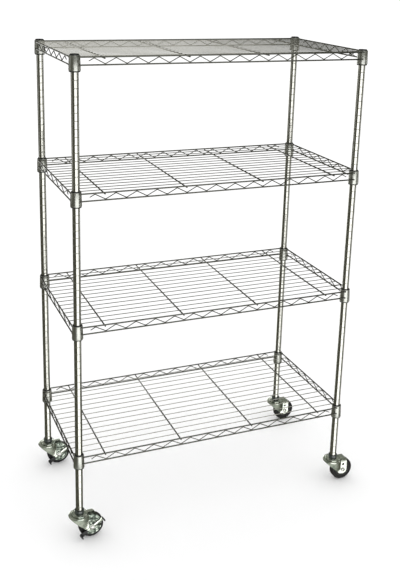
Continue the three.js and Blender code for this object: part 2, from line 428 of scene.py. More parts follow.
# %% Cloudy zinc plate on the pressings
def zinc_plate():
    finish = Finish("passivated zinc plate")
    clouds = finish.noise(55, 4)
    spangle = finish.noise(420, 3)
    tint = finish.node("ShaderNodeValToRGB", {"stops": [
        (0.34, (0.40, 0.46, 0.41)),
        (0.64, (0.80, 0.82, 0.76)),
        (0.50, (0.62, 0.66, 0.58)),
    ]}, {0: clouds * 0.7 + spangle * 0.3})
    return finish.surface({
        "Metallic": 1.0,
        "Base Color": tint,
        "Roughness": 0.07 + clouds * 0.16,
        "Normal": finish.bump(spangle, 0.00012, 0.5),
    })


ZINC = zinc_plate()
print("made:", ZINC.name)

# %% [markdown]
# ## Stained zinc on the brake side
# The plate behind each brake lever is stained and rubbed, almost black in places and bright in
# others. A ramp with close stops makes the stains hard-edged, and the same noise dents the
# surface, so that light and dark also come from what each dent reflects.


# %% Stained zinc on the brake side
def stained_zinc():
    finish = Finish("stained zinc plate")
    stains = finish.noise(130, 2)
    grain = finish.noise(500, 3)
    tint = finish.node("ShaderNodeValToRGB", {"stops": [
        (0.40, (0.035, 0.045, 0.036)),
        (0.66, (0.72, 0.76, 0.70)),
        (0.50, (0.13, 0.155, 0.13)),
        (0.58, (0.30, 0.34, 0.29)),
    ]}, {0: stains * 0.8 + grain * 0.2})
    return finish.surface({
        "Metallic": 1.0,
        "Base Color": tint,
        "Roughness": 0.12 + stains * 0.2,
        "Normal": finish.bump(stains * 0.7 + grain * 0.3, 0.001, 0.6),
    })


STAINED = stained_zinc()
print("made:", STAINED.name)

# %% [markdown]
# ## Bright bolts and nuts
# Axle bolts, nuts and stems are plain plated steel, rubbed by spanners. One small noise varies
# the colour, the roughness and the bump together, because a rubbed spot changes all three.


# %% Bright bolts and nuts
def bolt_steel():
    finish = Finish("bright bolt steel")
    rubbed = finish.noise(260, 3)
    return finish.surface({
        "Metallic": 1.0,
        "Base Color": finish.mix(rubbed, (0.48, 0.48, 0.46), (0.72, 0.72, 0.70)),
        "Roughness": 0.22 + rubbed * 0.2,
        "Normal": finish.bump(rubbed, 0.0001, 0.3),
    })


BOLT = bolt_steel()
print("made:", BOLT.name)

# %% [markdown]
# ## Tyre rubber
# Rubber is almost black with a weak shine. Dust sticks only where it rolls, so the tyre's mesh
# carries a tread value on its points, and a broken noise decides how much of it is dusty.


# %% Tyre rubber, dusty where it rolls
def tyre_rubber():
    finish = Finish("black tyre rubber")
    tread = finish.node("ShaderNodeAttribute", {"attribute_name": "tread"}, output="Fac")
    speckle = finish.noise(700, 3)
    dust = tread * finish.fade(finish.noise(90, 4), 0.35, 0.7)
    return finish.surface({
        "Base Color": finish.mix(dust, (0.008, 0.008, 0.008), (0.030, 0.027, 0.024)),
        "Roughness": 0.5 + dust * 0.3,
        "Specular IOR Level": 0.3,
        "Normal": finish.bump(speckle, 0.0002, 0.4),
    })


RUBBER = tyre_rubber()
print("made:", RUBBER.name)

# %% [markdown]
# ## Dark moulded hub
# The hub is a harder plastic than the caps and a little paler, with stains of dust and grease.


# %% Dark moulded hub
def hub_plastic():
    finish = Finish("dark moulded hub")
    grain = finish.noise(1200, 2)
    stain = finish.fade(finish.noise(60, 4), 0.45, 0.8)
    return finish.surface({
        "Base Color": finish.mix(stain, (0.020, 0.020, 0.020), (0.045, 0.042, 0.038)),
        "Roughness": 0.42 + grain * 0.15,
        "Normal": finish.bump(grain, 0.0001, 0.4),
    })


HUB = hub_plastic()
print("made:", HUB.name)

# %% [markdown]
# ## Shaping tools
# Most of this cart is turned, rolled or bent, so three small tools make most of it. One spins
# an outline about the Z axis, one lays a straight wire between two points, and one eases the
# sharp edges of a shape, because no real edge is perfectly sharp and the thin highlight on a
# rounded edge is what the eye looks for.


# %% Turning, straight wires and eased edges
def spun(outline, steps, closed=True, sweep=math.tau, start=0.0):
    """Turns (radius, height) points about Z. An open outline starts and ends on the axis."""
    shape = bmesh.new()
    points = [shape.verts.new((radius, 0, height)) for radius, height in outline]
    for first, second in zip(points, points[1:] + points[:1] if closed else points[1:]):
        shape.edges.new((first, second))
    bmesh.ops.rotate(shape, verts=shape.verts, matrix=Matrix.Rotation(start, 3, "Z"))
    whole = math.isclose(sweep, math.tau)
    bmesh.ops.spin(
        shape, geom=shape.verts[:] + shape.edges[:], cent=(0, 0, 0), axis=(0, 0, 1),
        angle=sweep, steps=steps, use_merge=whole,
    )
    bmesh.ops.remove_doubles(shape, verts=shape.verts, dist=1e-4)
    if not whole:
        bmesh.ops.holes_fill(shape, edges=shape.edges, sides=0)
    bmesh.ops.recalc_face_normals(shape, faces=shape.faces)
    return shape


def rod(start, end, radius, sides):
    """A straight round wire between two points."""
    start, end = Vector(start), Vector(end)
    shape = bmesh.new()
    lie = (end - start).to_track_quat("Z", "Y").to_matrix().to_4x4()
    bmesh.ops.create_cone(
        shape, cap_ends=True, segments=sides, radius1=radius, radius2=radius,
        depth=(end - start).length, matrix=Matrix.Translation((start + end) / 2) @ lie,
    )
    return shape


def eased(shape, width, segments=2, sharper_than=30):
    """Rounds every edge that is sharper than this many degrees."""
    limit = math.radians(sharper_than)
    edges = [e for e in shape.edges if e.is_manifold and e.calc_face_angle() > limit]
    bmesh.ops.bevel(
        shape, geom=edges, offset=width, affect="EDGES", segments=segments,
        profile=0.5, material=-1, clamp_overlap=True,
    )
    return shape


print("shapes can be turned, drawn as wire and eased")

# %% [markdown]
# ## From a shape to a piece
# A shape that repeats is drawn once and copied. A finished piece has its place in its mesh, with
# its object left at the origin, so it needs nothing but the name of the body that carries it.
# Smooth shading runs over gentle curves and stops at real edges.


# %% Putting shapes together and in their place
def joined(*shapes):
    """One shape that holds all of these."""
    whole = bmesh.new()
    for shape in shapes:
        mesh = bpy.data.meshes.new("part")
        shape.to_mesh(mesh)
        whole.from_mesh(mesh)
        bpy.data.meshes.remove(mesh)
    return whole


def moved(shape, offset, turn=0.0, axis="Z"):
    """A copy of the shape, turned about an axis through the origin and then moved."""
    copy = shape.copy()
    turned = Matrix.Rotation(turn, 4, axis)
    bmesh.ops.transform(copy, verts=copy.verts, matrix=Matrix.Translation(offset) @ turned)
    return copy


def about_y(shape):
    """A copy of a turned shape, laid over so that its axis runs along Y and its top faces the front."""
    return moved(shape, (0, 0, 0), math.pi / 2, "X")


made_pieces = []
SHARP_EDGE = math.radians(35)


def piece(name, shape, finish, body, nodes, place):
    """Puts a shape drawn in millimetres at a place in metres, riding on a body, in place of CAD nodes."""
    placed = shape.copy()
    into_place = Matrix.Translation(place) @ Matrix.Scale(MM, 4)
    bmesh.ops.transform(placed, verts=placed.verts, matrix=into_place)
    mesh = bpy.data.meshes.new(name)
    placed.to_mesh(mesh)
    mesh.materials.append(finish)
    mesh.shade_smooth()
    mesh.set_sharp_from_angle(angle=SHARP_EDGE)
    made = bpy.data.objects.new(name, mesh)
    scene.collection.objects.link(made)
    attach(made, body)
    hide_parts(*nodes)
    made_pieces.append(made)


print("shapes can be joined, moved and made into pieces")

# %% [markdown]
# ## Corners
# Everything repeats at the four corners, so the CAD posts give the four axes once.
# A caster is drawn about the same axis, with the floor as its zero height.

# %% Corner axes
CORNERS = ("front_left", "front_right", "back_left", "back_right")
BRAKED = ("front_left", "back_left")


def axis_at(node):
    low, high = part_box(node)
    return (low + high) / 2


AXES = {corner: axis_at(f"post_{corner}") for corner in CORNERS}
SPAN_X = (AXES["front_right"].x - AXES["front_left"].x) / MM
SPAN_Y = (AXES["back_left"].y - AXES["front_left"].y) / MM
MIDDLE = (AXES["front_left"] + AXES["back_right"]) / 2
print(f"post axes are {SPAN_X:.1f} by {SPAN_Y:.1f} mm apart")

# %% [markdown]
# ## Posts
# Each post is a thin steel tube, an inch across, with a shallow groove rolled round it every
# inch. The sleeves snap into these grooves, which is how a shelf can sit at any height.
# A plain cylinder with a painted ring would fall flat, because a groove catches its own small
# highlight. So the whole outline, grooves and all, is turned about the axis in one go.

# %% Grooved posts
POST_RADIUS = (post_high.x - post_low.x) / 2 / MM
POST_LENGTH = (post_high.z - post_low.z) / MM
POST_BORE = POST_RADIUS - 1.2
POST_BEVEL = 0.4
GROOVE_DEPTH, GROOVE_HALF = 0.35, 1.0
grooves = int(POST_LENGTH // PITCH)

outline = [(POST_BORE, 0), (POST_RADIUS - POST_BEVEL, 0), (POST_RADIUS, POST_BEVEL)]
for groove in range(1, grooves + 1):
    for step in (-1.4, -1, -0.5, 0, 0.5, 1, 1.4):
        depth = GROOVE_DEPTH * (1 + math.cos(math.pi * max(-1, min(1, step)))) / 2
        outline.append((POST_RADIUS - depth, groove * PITCH + step * GROOVE_HALF))
outline += [
    (POST_RADIUS, POST_LENGTH - POST_BEVEL), (POST_RADIUS - POST_BEVEL, POST_LENGTH),
    (POST_BORE, POST_LENGTH),
]
post_shape = spun(outline, 32)
for corner, axis in AXES.items():
    place = (axis.x, axis.y, post_low.z)
    piece(f"grooved_post_{corner}", post_shape, CHROME_POST, "cart", [f"post_{corner}"], place)
print("grooves on a post:", grooves, "faces:", len(post_shape.faces))

# %% [markdown]
# ## Caps and stem cups
# A black plug closes the top of each post. At the foot a black cup wraps the end of the tube,
# and its bush inside holds the stem of the caster. Both are moulded, so their edges are soft.

# %% Caps and cups
cap_shape = eased(spun([
    (0, -18), (11.2, -18), (11.2, 0.3), (12.6, 0.3), (12.6, 3.2), (9.5, 4.8), (0, 5),
], 32, closed=False), 0.5)
cup_shape = eased(spun([
    (5.8, -1.2), (15, -1.2), (17, 1), (17, 11), (13, 11), (13, -0.3), (11, -0.3), (11, 38), (5.8, 38),
], 40), 0.5)
for corner, axis in AXES.items():
    top = (axis.x, axis.y, post_high.z)
    foot = (axis.x, axis.y, post_low.z)
    piece(f"end_cap_{corner}", cap_shape, PLASTIC, "cart", [f"cap_{corner}"], top)
    piece(f"stem_cup_{corner}", cup_shape, CUP, "cart", [f"foot_{corner}"], foot)
print("caps and cups:", 2 * len(AXES))

# %% [markdown]
# ## Split sleeves
# Two black half rings clip round the post, with a bead inside that drops into a groove. They
# taper, so the shelf's collar wedges itself tight on them as it slides down. Only a lip below the
# collar and a thin rim above it stay in sight. Half a turn of the outline makes one half, and the
# open ends are closed, which leaves the real slit on both sides.

# %% Sleeves
COLLAR_HEIGHT = 47
SLIT = math.radians(5)
sleeve_outline = [
    (13, -4), (16.8, -4), (17.8, -3.2), (18, -1.6), (17.4, -0.4), (16.4, 0),
    (14.7, COLLAR_HEIGHT), (14.7, COLLAR_HEIGHT + 3), (14.2, COLLAR_HEIGHT + 3.5), (13, COLLAR_HEIGHT + 3.5),
]
half = spun(sleeve_outline, 18, sweep=math.pi - SLIT, start=SLIT / 2)
sleeve_shape = joined(half, moved(half, (0, 0, 0), math.pi))
for shelf in range(1, 5):
    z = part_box(f"shelf_{shelf}")[0].z
    for corner, axis in AXES.items():
        node = f"sleeve_{shelf}_{corner}"
        piece(f"split_{node}", sleeve_shape, PLASTIC, "cart", [node], (axis.x, axis.y, z))
print("one sleeve has", len(sleeve_shape.faces), "faces in two halves")

# %% [markdown]
# ## Wire shelves
# A shelf is welded from drawn wire: an upper and a lower rail on each side with a zigzag wire
# between them, a deck of thin wires the long way, and four thicker cross wires under the deck.
# Bent wire is swept: a ring of edges is pulled along for each straight and spun for each bend,
# the way the real wire passes through a bender. A curve with a bevel would do it too, but its
# rings crowd together at a tight bend.

# %% Bent wire tools
def ring(shape, at, heading, radius, sides=8):
    lie = Vector(heading).to_track_quat("Z", "Y").to_matrix().to_4x4()
    made = bmesh.ops.create_circle(
        shape, segments=sides, radius=radius, matrix=Matrix.Translation(at) @ lie,
    )
    return list({edge for vert in made["verts"] for edge in vert.link_edges})


def pulled(shape, edges, move):
    """Pulls a ring of edges along a straight, and gives the ring at its end."""
    made = bmesh.ops.extrude_edge_only(shape, edges=edges)["geom"]
    verts = {g for g in made if isinstance(g, bmesh.types.BMVert)}
    bmesh.ops.translate(shape, verts=list(verts), vec=move)
    return [g for g in made if isinstance(g, bmesh.types.BMEdge) and set(g.verts) <= verts]


def bent(shape, edges, centre, axis, angle, steps=4):
    """Spins a ring of edges round a bend, and gives the ring at its end."""
    verts = list({vert for edge in edges for vert in edge.verts})
    made = bmesh.ops.spin(
        shape, geom=verts + edges, cent=centre, axis=axis, angle=angle, steps=steps, use_merge=False,
    )
    return [g for g in made["geom_last"] if isinstance(g, bmesh.types.BMEdge)]


def closed_up(shape):
    bmesh.ops.holes_fill(shape, edges=shape.edges, sides=0)
    bmesh.ops.recalc_face_normals(shape, faces=shape.faces)
    return shape


print("wire can be pulled straight and bent")

# %% [markdown]
# ## The zigzag
# One thin wire runs up and down between the rails and is welded to them at each bend. It is bent
# round a pin, never folded, so every corner is a small arc. A long side has fourteen peaks and a
# short side six, which gives both about the same slope.

# %% The zigzag
RAIL_TOP, RAIL_BOTTOM = 42, 17.5
RAIL_RADIUS, ZIGZAG_RADIUS, ZIGZAG_BEND = 2.6, 1.6, 6
ZIGZAG_MARGIN, WELD_SINK = 23, 2.4
LONG_PEAKS, SHORT_PEAKS = 14, 6


def zigzag(span, peaks):
    """A zigzag wire along X with its free ends at half height."""
    run = (span - 2 * ZIGZAG_MARGIN) / (2 * peaks)
    middle = (RAIL_TOP + RAIL_BOTTOM) / 2
    rise = RAIL_TOP - RAIL_BOTTOM - 2 * RAIL_RADIUS - 2 * ZIGZAG_RADIUS + WELD_SINK
    slope = math.atan2(rise, run)
    cut = ZIGZAG_BEND * math.tan(slope)
    full = math.hypot(run, rise) - 2 * cut
    shape = bmesh.new()
    at = Vector((-span / 2 + ZIGZAG_MARGIN + run / 2, 0, middle))
    up = 1
    edges = ring(shape, at, (math.cos(slope), 0, math.sin(slope)), ZIGZAG_RADIUS)
    for corner in range(2 * peaks - 1):
        heading = Vector((math.cos(slope), 0, up * math.sin(slope)))
        length = full if corner else full / 2
        edges = pulled(shape, edges, heading * length)
        at += heading * length
        centre = at + ZIGZAG_BEND * Vector((math.sin(slope), 0, -up * math.cos(slope)))
        edges = bent(shape, edges, centre, (0, 1, 0), up * 2 * slope)
        at.x += 2 * ZIGZAG_BEND * math.sin(slope)
        up = -up
    pulled(shape, edges, Vector((math.cos(slope), 0, up * math.sin(slope))) * full / 2)
    return closed_up(shape)


long_zigzag, short_zigzag = zigzag(SPAN_X, LONG_PEAKS), zigzag(SPAN_Y, SHORT_PEAKS)
print("bends along the long side:", 2 * LONG_PEAKS - 1, "faces:", len(long_zigzag.faces))

# %% [markdown]
# ## Rails
# The rails pass outside the posts and stop short of the corners, where they are welded to the
# collars. Each weld is a small melted bead, so a stretched ball ends every rail. One side is drawn
# along X, and the other three are turned copies of a side.

# %% Rails with their weld beads
RAIL_OUT, RAIL_FROM_POST = 15, 11
BEAD_RADIUS, BEAD_PAST, BEAD_STRETCH = 3.6, 2, (1.5, 1, 1)
EDGE_X, EDGE_Y = SPAN_X / 2 + RAIL_OUT, SPAN_Y / 2 + RAIL_OUT


def bead(at):
    shape = bmesh.new()
    lie = Matrix.Translation(at) @ Matrix.Diagonal((*BEAD_STRETCH, 1))
    bmesh.ops.create_icosphere(shape, subdivisions=2, radius=BEAD_RADIUS, matrix=lie)
    return shape


def side(span, zigzag_shape):
    """One side of the edge along X: two rails, the zigzag between them and a weld at each rail's end."""
    reach = span / 2 - RAIL_FROM_POST
    parts = [zigzag_shape]
    for z in (RAIL_TOP, RAIL_BOTTOM):
        parts.append(rod((-reach, 0, z), (reach, 0, z), RAIL_RADIUS, 12))
        parts += [bead((x, 0, z)) for x in (-reach - BEAD_PAST, reach + BEAD_PAST)]
    return joined(*parts)


long_side, short_side = side(SPAN_X, long_zigzag), side(SPAN_Y, short_zigzag)
edge = joined(
    moved(long_side, (0, -EDGE_Y, 0)), moved(long_side, (0, EDGE_Y, 0)),
    moved(short_side, (-EDGE_X, 0, 0), math.pi / 2), moved(short_side, (EDGE_X, 0, 0), math.pi / 2),
)
print("edge of a shelf:", len(edge.faces), "faces")

# %% [markdown]
# ## Deck and collars
# The deck wires lie level with the upper rails and the cross wires hold them up from below. Their
# ends are cut and ground, so the cross wires get a rounded end where they pass the rails. A cone-
# shaped collar at each corner grips the sleeve. A shelf is one welded part, but its edge, its deck
# and its collars are three pieces, because each has its own finish.

# %% Deck wires, cross wires and collars
DECK_WIRES, DECK_RADIUS = 14, 1.45
CROSS_WIRES, CROSS_RADIUS, CROSS_SPACING, CROSS_Z = 4, 2.5, 282, 37.6

deck, cross = [], []
pitch = 2 * EDGE_Y / (DECK_WIRES + 1)
for i in range(DECK_WIRES):
    y = (i + 1) * pitch - EDGE_Y
    deck.append(rod((-EDGE_X, y, RAIL_TOP), (EDGE_X, y, RAIL_TOP), DECK_RADIUS, 8))
reach = EDGE_Y + RAIL_RADIUS
for i in range(CROSS_WIRES):
    x = (i - (CROSS_WIRES - 1) / 2) * CROSS_SPACING
    wire = rod((x, -reach, CROSS_Z), (x, reach, CROSS_Z), CROSS_RADIUS, 12)
    cross.append(eased(wire, CROSS_RADIUS * 0.8, 3, 60))
collar_outline = [(16.9, 0), (19.2, 0), (17.6, COLLAR_HEIGHT), (15.2, COLLAR_HEIGHT)]
collar = eased(spun(collar_outline, 40), 0.8, 3)
collars = [
    moved(collar, (x * SPAN_X / 2, y * SPAN_Y / 2, 0)) for x in (-1, 1) for y in (-1, 1)
]
edge_shape, deck_shape, collar_shape = joined(edge, *cross), joined(*deck), joined(*collars)
for shelf in range(1, 5):
    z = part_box(f"shelf_{shelf}")[0].z
    place = (MIDDLE.x, MIDDLE.y, z)
    piece(f"shelf_edge_{shelf}", edge_shape, EDGE_CHROME, "cart", [f"shelf_{shelf}"], place)
    piece(f"shelf_deck_{shelf}", deck_shape, DECK_CHROME, "cart", [], place)
    piece(f"shelf_collars_{shelf}", collar_shape, COLLAR, "cart", [], place)
print("a shelf:", sum(len(s.faces) for s in (edge_shape, deck_shape, collar_shape)), "faces")

# %% [markdown]
# ## Casters
# A stem hangs in the cup. Round it sits a pressed race full of balls, and under that a steel
# pressing that turns with the wheel: a round crown, a skirt, a hood and a leg on either side.
# The race is two dished rings pressed together, so its outline is turned about the stem.

# %% Ball race
race_shape = eased(spun([
    (5.8, 95), (26, 95), (28.4, 95.6), (29, 96.8), (28.6, 98.2), (27, 98.9), (25.4, 98.5),
    (23.5, 98.9), (20, 100.2), (5.8, 100.3),
], 48), 0.3, 2, 50)
print("race:", len(race_shape.faces), "faces")

# %% [markdown]
# ## Crown
# The crown is the round top of the fork, with a rolled rim that hangs down over the legs. It is
# turned like the race and then moved a little away from the wheel, over the round of the skirt.

# %% Crown of the fork
CROWN_SHIFT = -3
crown_shape = eased(spun([
    (6.4, 94.5), (31, 94.5), (34.2, 93.9), (35.7, 92.4), (36, 90.4), (35.4, 88.6),
    (33.6, 88.6), (33.6, 90.4), (32.4, 91.6), (10, 91.6), (6.4, 91.6),
], 64), 0.3, 2, 50)
crown_shape = moved(crown_shape, (CROWN_SHIFT, 0, 0))
print("crown:", len(crown_shape.faces), "faces")

# %% [markdown]
# ## Skirt
# The skirt is pressed from flat sheet into a half cone that wraps the wheel on the stem's side. A
# flat grid is wrapped the same way: its middle goes round in a half turn, its ends run back along
# the legs, and a slanted cut trims its lower edge. Thickness comes last, as everywhere on the
# fork, because an open surface is far easier to shape than two parallel ones.

# %% Skirt: a grid wrapped round the wheel
SKIRT_TOP, SKIRT_BOTTOM, LEG_OUT = 92, 30, 18
SKIRT_REACH, SKIRT_TAPER, SKIRT_ROUND, SKIRT_SHEET = 33, 12, 3, 2.2
SKIRT_FLARE, FLARE_END, FLARE_CURVE = 11, 0.85, 1.2
BAND_START, BAND_END = 5, 28
TURN_SHARE, BAND_SHARE = 0.7, 0.3


def skirt():
    shape = bmesh.new()
    bmesh.ops.create_grid(shape, x_segments=40, y_segments=14, size=1)
    for vert in shape.verts:
        around, down = vert.co.x, (1 - vert.co.y) / 2
        z = SKIRT_TOP + (SKIRT_BOTTOM - SKIRT_TOP) * down
        half = LEG_OUT + SKIRT_FLARE * max(0, 1 - down / FLARE_END) ** FLARE_CURVE
        reach = SKIRT_REACH - SKIRT_TAPER * down
        if abs(around) < TURN_SHARE:
            angle = math.pi / 2 * around / TURN_SHARE
            x = BAND_START - (reach + SKIRT_ROUND + BAND_START) * math.cos(angle)
            y = half * math.sin(angle)
        else:
            band = (abs(around) - TURN_SHARE) / BAND_SHARE
            x = BAND_START + (BAND_END - BAND_START) * band
            y = math.copysign(half + (LEG_OUT - half) * band, around)
        vert.co = (x, y, z)
    slant = Vector((0.68, 0, 0.73)).normalized()
    bmesh.ops.bisect_plane(
        shape, geom=shape.verts[:] + shape.edges[:] + shape.faces[:], dist=1e-4,
        plane_co=(30, 0, 27), plane_no=-slant, clear_outer=True,
    )
    bmesh.ops.recalc_face_normals(shape, faces=shape.faces)
    bmesh.ops.solidify(shape, geom=shape.faces[:], thickness=-SKIRT_SHEET)
    bmesh.ops.recalc_face_normals(shape, faces=shape.faces)
    return shape


skirt_shape = skirt()
print("skirt:", len(skirt_shape.faces), "faces")

# %% [markdown]
# ## Hood and legs
# Half a hood and its leg are one outline, bent over at the shoulder. The shoulder is a bevelled
# edge, as the real one is a bend. The two holes go into the leg before it has a thickness, so the
# fill flows round them. The leg behind a brake lever is a wider plate with an outline of its own.

# %% Half of the hood with its leg
AXLE_X, AXLE_Z = 40, 44.5
HOOD_TOP, SHEET, SHOULDER = 94.5, 2.5, 5
LEG_ROUND, LEG_TURN, LEG_STEP = 17, -10, 20
AXLE_HOLE, SIDE_HOLE, SIDE_HOLE_UP = 5.3, 5, 24


def hole_edges(shape, radius, x, z):
    lie = Matrix.Translation((x, -LEG_OUT, z)) @ Matrix.Rotation(math.pi / 2, 4, "X")
    made = bmesh.ops.create_circle(shape, segments=20, radius=radius, matrix=lie)
    return {edge for vert in made["verts"] for edge in vert.link_edges}


def half_sheet(back):
    """The near half of the hood with its leg; back is the leg's rear outline, from the hood down."""
    roof = [(-6, HOOD_TOP), (50, HOOD_TOP), back[0]]
    turns = [math.radians(turn) for turn in range(LEG_TURN, -180 + LEG_STEP // 2, -LEG_STEP)]
    round_end = [
        (AXLE_X + LEG_ROUND * math.cos(turn), AXLE_Z + LEG_ROUND * math.sin(turn)) for turn in turns
    ]
    front = [(27, 33), (9, 84), (-6, 89)]
    shape = bmesh.new()
    verts = [shape.verts.new((x, -LEG_OUT, z)) for x, z in roof + back[1:] + round_end + front]
    leg = shape.faces.new(verts)
    shoulders = [shape.edges.get(pair) for pair in zip(verts[:2], verts[1:3])]
    pulled(shape, shoulders, (0, LEG_OUT, 0))
    shoulders = [e for e in leg.edges if len(e.link_faces) == 2]
    bmesh.ops.bevel(
        shape, geom=shoulders, offset=SHOULDER, affect="EDGES", segments=5, profile=0.5, material=-1,
    )
    leg = max(shape.faces, key=lambda face: len(face.verts))
    rim = set(leg.edges)
    bmesh.ops.delete(shape, geom=[leg], context="FACES_ONLY")
    rim |= hole_edges(shape, SIDE_HOLE, AXLE_X, AXLE_Z + SIDE_HOLE_UP)
    rim |= hole_edges(shape, AXLE_HOLE, AXLE_X, AXLE_Z)
    bmesh.ops.triangle_fill(shape, use_beauty=True, edges=list(rim), normal=(0, -1, 0))
    return shape


plain_half = half_sheet([(56.5, 88), (56.5, 52)])
brake_half = half_sheet([(60, 87), (69, 76), (74, 62), (73, 50), (67, 39)])
print("half sheets:", len(plain_half.faces), "and", len(brake_half.faces), "faces")

# %% [markdown]
# ## Both sides of the fork
# The far side is the near one mirrored, by a scale of minus one. That turns its faces inside out,
# so they are made to face outwards again before the wall gets its thickness.


# %% Legs
def sheet_leg(half, hand):
    """A half sheet on the near (1) or far (-1) side, thickened inwards."""
    shape = half.copy()
    bmesh.ops.scale(shape, verts=shape.verts, vec=(1, hand, 1))
    bmesh.ops.remove_doubles(shape, verts=shape.verts, dist=1e-3)
    bmesh.ops.recalc_face_normals(shape, faces=shape.faces)
    outward = max(shape.faces, key=lambda face: abs(face.calc_center_median().y))
    if outward.normal.y * hand > 0:
        bmesh.ops.reverse_faces(shape, faces=shape.faces)
    bmesh.ops.solidify(shape, geom=shape.faces[:], thickness=SHEET)
    bmesh.ops.recalc_face_normals(shape, faces=shape.faces)
    return shape


def reach_along(shape, axis):
    """From where to where a shape runs along an axis, in millimetres."""
    places = [vert.co[axis] for vert in shape.verts]
    return round(min(places), 2), round(max(places), 2)


near_leg, far_leg = sheet_leg(plain_half, 1), sheet_leg(plain_half, -1)
brake_leg = sheet_leg(brake_half, 1)
for leg in (near_leg, far_leg, brake_leg):
    print("leg:", len(leg.faces), "faces, across", reach_along(leg, 1))

# %% [markdown]
# ## Plate behind the brake lever
# Ribs pressed round the axle stiffen the wide plate. An outline that goes up and down once for
# each rib is turned about the axle, and its flat back is sunk into the plate. The plate is a piece
# apart from the rest of its fork, because its finish is the stained one.

# %% Pressed rings on the brake side
RING_FIRST, RING_LAST, RING_STEP, RING_RISE = 7, 31, 3.4, 1.1
rings = [(RING_FIRST + RING_STEP * i, LEG_OUT + RING_RISE * (i % 2)) for i in range(8)]
brake_rings = spun([(RING_FIRST, LEG_OUT - 1)] + rings + [(RING_LAST, LEG_OUT - 1)], 48)
brake_rings = moved(about_y(brake_rings), (AXLE_X + 2, 0, AXLE_Z + 3))
plain_fork = joined(crown_shape, skirt_shape, near_leg, far_leg)
brake_fork = joined(crown_shape, skirt_shape, far_leg)
brake_plate = joined(brake_leg, brake_rings)
print("plain fork:", len(plain_fork.faces), "faces, brake plate:", len(brake_plate.faces), "faces")

# %% [markdown]
# ## Wheels
# A black rubber tyre on a dark moulded hub. The tyre is a turned outline with rounded shoulders
# and a slightly crowned tread, and remembers which of its points roll on the floor, so that its
# material can put the dust there and nowhere else.

# %% Tyre and hub
TYRE_RADIUS, TYRE_HALF = 44.5, 13
TREAD_FROM, TREAD_FADE = 41, 3

tyre_shape = about_y(eased(spun([
    (30.3, -TYRE_HALF), (38.5, -TYRE_HALF), (41.8, -12.2), (43.8, -9.4), (44.35, -5), (TYRE_RADIUS, 0),
    (44.35, 5), (43.8, 9.4), (41.8, 12.2), (38.5, TYRE_HALF), (30.3, TYRE_HALF),
], 64), 0.6, 2, 40))
tread = tyre_shape.verts.layers.float.new("tread")
for vert in tyre_shape.verts:
    far = math.hypot(vert.co.x, vert.co.z)
    vert[tread] = min(1, max(0, (far - TREAD_FROM) / TREAD_FADE))
hub_shape = about_y(eased(spun([
    (5.4, -14), (11.5, -14), (12.5, -10), (24, -9), (26.5, -12.6), (30, -12.6), (30, 12.6),
    (26.5, 12.6), (24, 9), (12.5, 10), (11.5, 14), (5.4, 14),
], 48), 0.5, 2))
print("tyre:", len(tyre_shape.faces), "hub:", len(hub_shape.faces), "faces")

# %% [markdown]
# ## Axle bolts
# A hexagon bolt runs through both legs, with a washer under its head and a nut on the far side.
# On a braked wheel it is longer, because the lever sits between the leg and the washer. A cone
# with six sides and equal ends is a hexagon, and eased edges stand in for its turned corners.


# %% Axle bolt
BOLT_RADIUS, HEX_ACROSS = 5, 13.2
WASHER_BORE, WASHER_RADIUS, WASHER_THICK, HEAD_TALL = 5.05, 8, 1.2, 3.2
NUT_NEAR, NUT_FAR = 18.4, 22.2


def hexagon(across, y0, y1):
    """A nut or a bolt head with its corners chamfered, along Y."""
    shape = bmesh.new()
    lie = Matrix.Translation((0, (y0 + y1) / 2, 0)) @ Matrix.Rotation(math.pi / 2, 4, "X")
    radius = across / 2 / math.cos(math.pi / 6)
    bmesh.ops.create_cone(
        shape, cap_ends=True, segments=6, radius1=radius, radius2=radius, depth=y1 - y0, matrix=lie,
    )
    return eased(shape, 0.5, 2)


def axle(near):
    """The bolt, with its head beyond the near leg and a nut at the back; near is where the head sits."""
    shank = rod((0, -near - 2, 0), (0, 20, 0), BOLT_RADIUS, 20)
    face = near + WASHER_THICK
    washer_outline = [(WASHER_BORE, near), (WASHER_RADIUS, near), (WASHER_RADIUS, face), (WASHER_BORE, face)]
    washer = eased(about_y(spun(washer_outline, 28)), 0.25)
    head = hexagon(HEX_ACROSS, -face - HEAD_TALL, -face)
    nut = hexagon(HEX_ACROSS, NUT_NEAR, NUT_FAR)
    return joined(shank, washer, head, nut)


PLAIN_HEAD, BRAKED_HEAD = 18.1, 22.5
plain_axle, braked_axle = axle(PLAIN_HEAD), axle(BRAKED_HEAD)
print("axle:", len(plain_axle.faces), "faces, along", reach_along(plain_axle, 1))

# %% [markdown]
# ## Brake levers
# The two casters on the left have a steel strip across the face of the wheel. Stepping on one
# end tips it and presses a pad on the tyre. The strip is drawn as a ribbon that runs along one tab,
# round a bend, along the strip, and round another bend. Thickness comes last, then eased edges.
# The bend is rounder than the sheet is thick, or its inner side would fold over itself.

# %% Lever strip
LEVER_TILT, LEVER_HALF, LEVER_NEAR, LEVER_SHEET = math.radians(34.5), 50, 19.2, 3
TAB_OUT, TAB_BEND, TAB_HALF = 10.8, 4, 8
NECK, NECK_LONG, MIDDLE = 0.56, 8, 12


